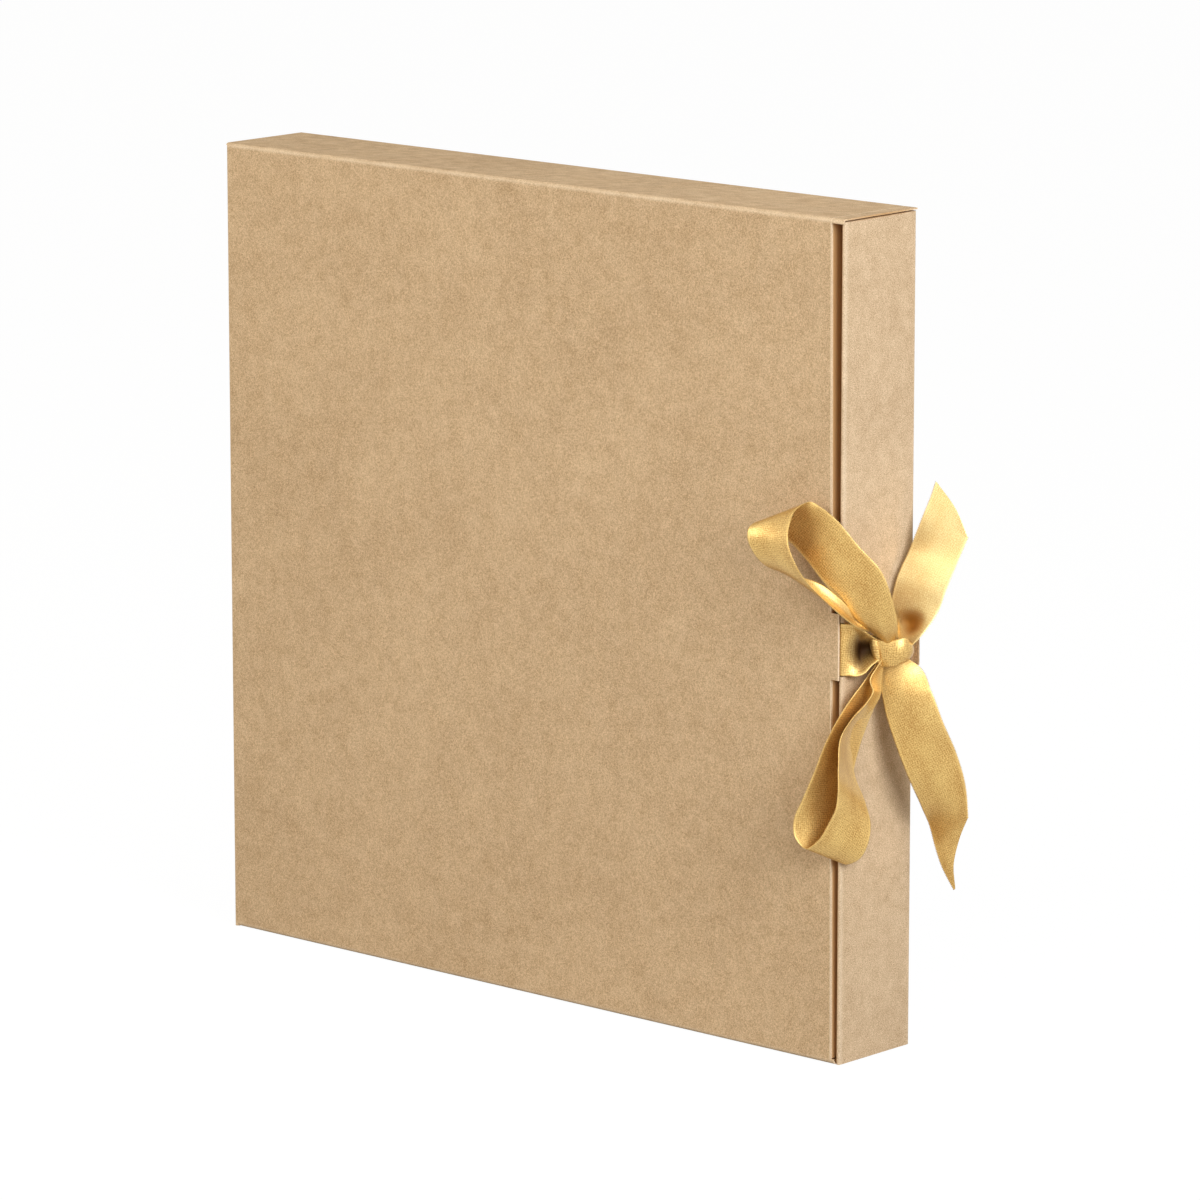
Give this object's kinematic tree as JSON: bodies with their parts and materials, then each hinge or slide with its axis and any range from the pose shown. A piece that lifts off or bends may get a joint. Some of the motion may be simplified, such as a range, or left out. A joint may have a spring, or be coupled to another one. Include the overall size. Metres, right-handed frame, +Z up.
{
  "type": "advent calendar box",
  "caption": "Flat upright box of folded kraft card with a book-like hinged cover, small pull-out drawers inside and a gold satin ribbon bow that ties the open side.",
  "frame": {"origin": "middle of the box's footprint, on the surface it stands on", "axes": "+Z up, the cover faces -Y, the ribbon is at the +X side"},
  "size_m": [0.3592, 0.0696, 0.33],
  "materials": {
    "cover_card": "matte brown kraft with fine fibres",
    "rack_card": "matte brown kraft",
    "drawer_carton": "matte brown kraft",
    "satin_ribbon": "gold satin weave"
  },
  "bodies": {
    "case": {"divider_1": "rack_card", "divider_2": "rack_card", "divider_3": "rack_card", "divider_4": "rack_card", "rack_frame": "rack_card", "rear_ribbon": "satin_ribbon", "shelf_1": "rack_card", "shelf_2": "rack_card", "shelf_3": "rack_card", "shelf_4": "rack_card", "tray": "cover_card"},
    "cover": {"lid": "cover_card", "bow_knot": "satin_ribbon", "bow_loop_lower": "satin_ribbon", "bow_loop_upper": "satin_ribbon", "bow_tail_lower": "satin_ribbon", "bow_tail_upper": "satin_ribbon", "front_ribbon": "satin_ribbon"},
    "drawer_01": {"drawer_01": "drawer_carton"},
    "drawer_02": {"drawer_02": "drawer_carton"},
    "drawer_03": {"drawer_03": "drawer_carton"},
    "drawer_04": {"drawer_04": "drawer_carton"},
    "drawer_05": {"drawer_05": "drawer_carton"},
    "drawer_06": {"drawer_06": "drawer_carton"},
    "drawer_07": {"drawer_07": "drawer_carton"},
    "drawer_08": {"drawer_08": "drawer_carton"},
    "drawer_09": {"drawer_09": "drawer_carton"},
    "drawer_10": {"drawer_10": "drawer_carton"},
    "drawer_11": {"drawer_11": "drawer_carton"},
    "drawer_12": {"drawer_12": "drawer_carton"},
    "drawer_13": {"drawer_13": "drawer_carton"},
    "drawer_14": {"drawer_14": "drawer_carton"},
    "drawer_15": {"drawer_15": "drawer_carton"},
    "drawer_16": {"drawer_16": "drawer_carton"},
    "drawer_17": {"drawer_17": "drawer_carton"},
    "drawer_18": {"drawer_18": "drawer_carton"},
    "drawer_19": {"drawer_19": "drawer_carton"},
    "drawer_20": {"drawer_20": "drawer_carton"},
    "drawer_21": {"drawer_21": "drawer_carton"},
    "drawer_22": {"drawer_22": "drawer_carton"},
    "drawer_23": {"drawer_23": "drawer_carton"},
    "drawer_24": {"drawer_24": "drawer_carton"}
  },
  "joints": [
    {"name": "cover_hinge", "type": "hinge", "parent": "case", "child": "cover", "pos_m": [-0.1638, -0.0208, 0.165], "axis": [0, 0, -1], "range_deg": [0, 180]},
    {"name": "drawer_01_slide", "type": "slide", "parent": "case", "child": "drawer_01", "axis": [0, -1, 0], "range_m": [0, 0.034]},
    {"name": "drawer_02_slide", "type": "slide", "parent": "case", "child": "drawer_02", "axis": [0, -1, 0], "range_m": [0, 0.034]},
    {"name": "drawer_03_slide", "type": "slide", "parent": "case", "child": "drawer_03", "axis": [0, -1, 0], "range_m": [0, 0.034]},
    {"name": "drawer_04_slide", "type": "slide", "parent": "case", "child": "drawer_04", "axis": [0, -1, 0], "range_m": [0, 0.034]},
    {"name": "drawer_05_slide", "type": "slide", "parent": "case", "child": "drawer_05", "axis": [0, -1, 0], "range_m": [0, 0.034]},
    {"name": "drawer_06_slide", "type": "slide", "parent": "case", "child": "drawer_06", "axis": [0, -1, 0], "range_m": [0, 0.034]},
    {"name": "drawer_07_slide", "type": "slide", "parent": "case", "child": "drawer_07", "axis": [0, -1, 0], "range_m": [0, 0.034]},
    {"name": "drawer_08_slide", "type": "slide", "parent": "case", "child": "drawer_08", "axis": [0, -1, 0], "range_m": [0, 0.034]},
    {"name": "drawer_09_slide", "type": "slide", "parent": "case", "child": "drawer_09", "axis": [0, -1, 0], "range_m": [0, 0.034]},
    {"name": "drawer_10_slide", "type": "slide", "parent": "case", "child": "drawer_10", "axis": [0, -1, 0], "range_m": [0, 0.034]},
    {"name": "drawer_11_slide", "type": "slide", "parent": "case", "child": "drawer_11", "axis": [0, -1, 0], "range_m": [0, 0.034]},
    {"name": "drawer_12_slide", "type": "slide", "parent": "case", "child": "drawer_12", "axis": [0, -1, 0], "range_m": [0, 0.034]},
    {"name": "drawer_13_slide", "type": "slide", "parent": "case", "child": "drawer_13", "axis": [0, -1, 0], "range_m": [0, 0.034]},
    {"name": "drawer_14_slide", "type": "slide", "parent": "case", "child": "drawer_14", "axis": [0, -1, 0], "range_m": [0, 0.034]},
    {"name": "drawer_15_slide", "type": "slide", "parent": "case", "child": "drawer_15", "axis": [0, -1, 0], "range_m": [0, 0.034]},
    {"name": "drawer_16_slide", "type": "slide", "parent": "case", "child": "drawer_16", "axis": [0, -1, 0], "range_m": [0, 0.034]},
    {"name": "drawer_17_slide", "type": "slide", "parent": "case", "child": "drawer_17", "axis": [0, -1, 0], "range_m": [0, 0.034]},
    {"name": "drawer_18_slide", "type": "slide", "parent": "case", "child": "drawer_18", "axis": [0, -1, 0], "range_m": [0, 0.034]},
    {"name": "drawer_19_slide", "type": "slide", "parent": "case", "child": "drawer_19", "axis": [0, -1, 0], "range_m": [0, 0.034]},
    {"name": "drawer_20_slide", "type": "slide", "parent": "case", "child": "drawer_20", "axis": [0, -1, 0], "range_m": [0, 0.034]},
    {"name": "drawer_21_slide", "type": "slide", "parent": "case", "child": "drawer_21", "axis": [0, -1, 0], "range_m": [0, 0.034]},
    {"name": "drawer_22_slide", "type": "slide", "parent": "case", "child": "drawer_22", "axis": [0, -1, 0], "range_m": [0, 0.034]},
    {"name": "drawer_23_slide", "type": "slide", "parent": "case", "child": "drawer_23", "axis": [0, -1, 0], "range_m": [0, 0.034]},
    {"name": "drawer_24_slide", "type": "slide", "parent": "case", "child": "drawer_24", "axis": [0, -1, 0], "range_m": [0, 0.034]}
  ],
  "couplings": [
    {"joint": "drawer_01_slide", "follows": "cover_hinge", "m_per_rad": 0.0108},
    {"joint": "drawer_02_slide", "follows": "cover_hinge", "m_per_rad": 0.0108},
    {"joint": "drawer_03_slide", "follows": "cover_hinge", "m_per_rad": 0.0108},
    {"joint": "drawer_04_slide", "follows": "cover_hinge", "m_per_rad": 0.0108},
    {"joint": "drawer_05_slide", "follows": "cover_hinge", "m_per_rad": 0.0108},
    {"joint": "drawer_06_slide", "follows": "cover_hinge", "m_per_rad": 0.0108},
    {"joint": "drawer_07_slide", "follows": "cover_hinge", "m_per_rad": 0.0108},
    {"joint": "drawer_08_slide", "follows": "cover_hinge", "m_per_rad": 0.0108},
    {"joint": "drawer_09_slide", "follows": "cover_hinge", "m_per_rad": 0.0108},
    {"joint": "drawer_10_slide", "follows": "cover_hinge", "m_per_rad": 0.0108},
    {"joint": "drawer_11_slide", "follows": "cover_hinge", "m_per_rad": 0.0108},
    {"joint": "drawer_12_slide", "follows": "cover_hinge", "m_per_rad": 0.0108},
    {"joint": "drawer_13_slide", "follows": "cover_hinge", "m_per_rad": 0.0108},
    {"joint": "drawer_14_slide", "follows": "cover_hinge", "m_per_rad": 0.0108},
    {"joint": "drawer_15_slide", "follows": "cover_hinge", "m_per_rad": 0.0108},
    {"joint": "drawer_16_slide", "follows": "cover_hinge", "m_per_rad": 0.0108},
    {"joint": "drawer_17_slide", "follows": "cover_hinge", "m_per_rad": 0.0108},
    {"joint": "drawer_18_slide", "follows": "cover_hinge", "m_per_rad": 0.0108},
    {"joint": "drawer_19_slide", "follows": "cover_hinge", "m_per_rad": 0.0108},
    {"joint": "drawer_20_slide", "follows": "cover_hinge", "m_per_rad": 0.0108},
    {"joint": "drawer_21_slide", "follows": "cover_hinge", "m_per_rad": 0.0108},
    {"joint": "drawer_22_slide", "follows": "cover_hinge", "m_per_rad": 0.0108},
    {"joint": "drawer_23_slide", "follows": "cover_hinge", "m_per_rad": 0.0108},
    {"joint": "drawer_24_slide", "follows": "cover_hinge", "m_per_rad": 0.0108}
  ]
}
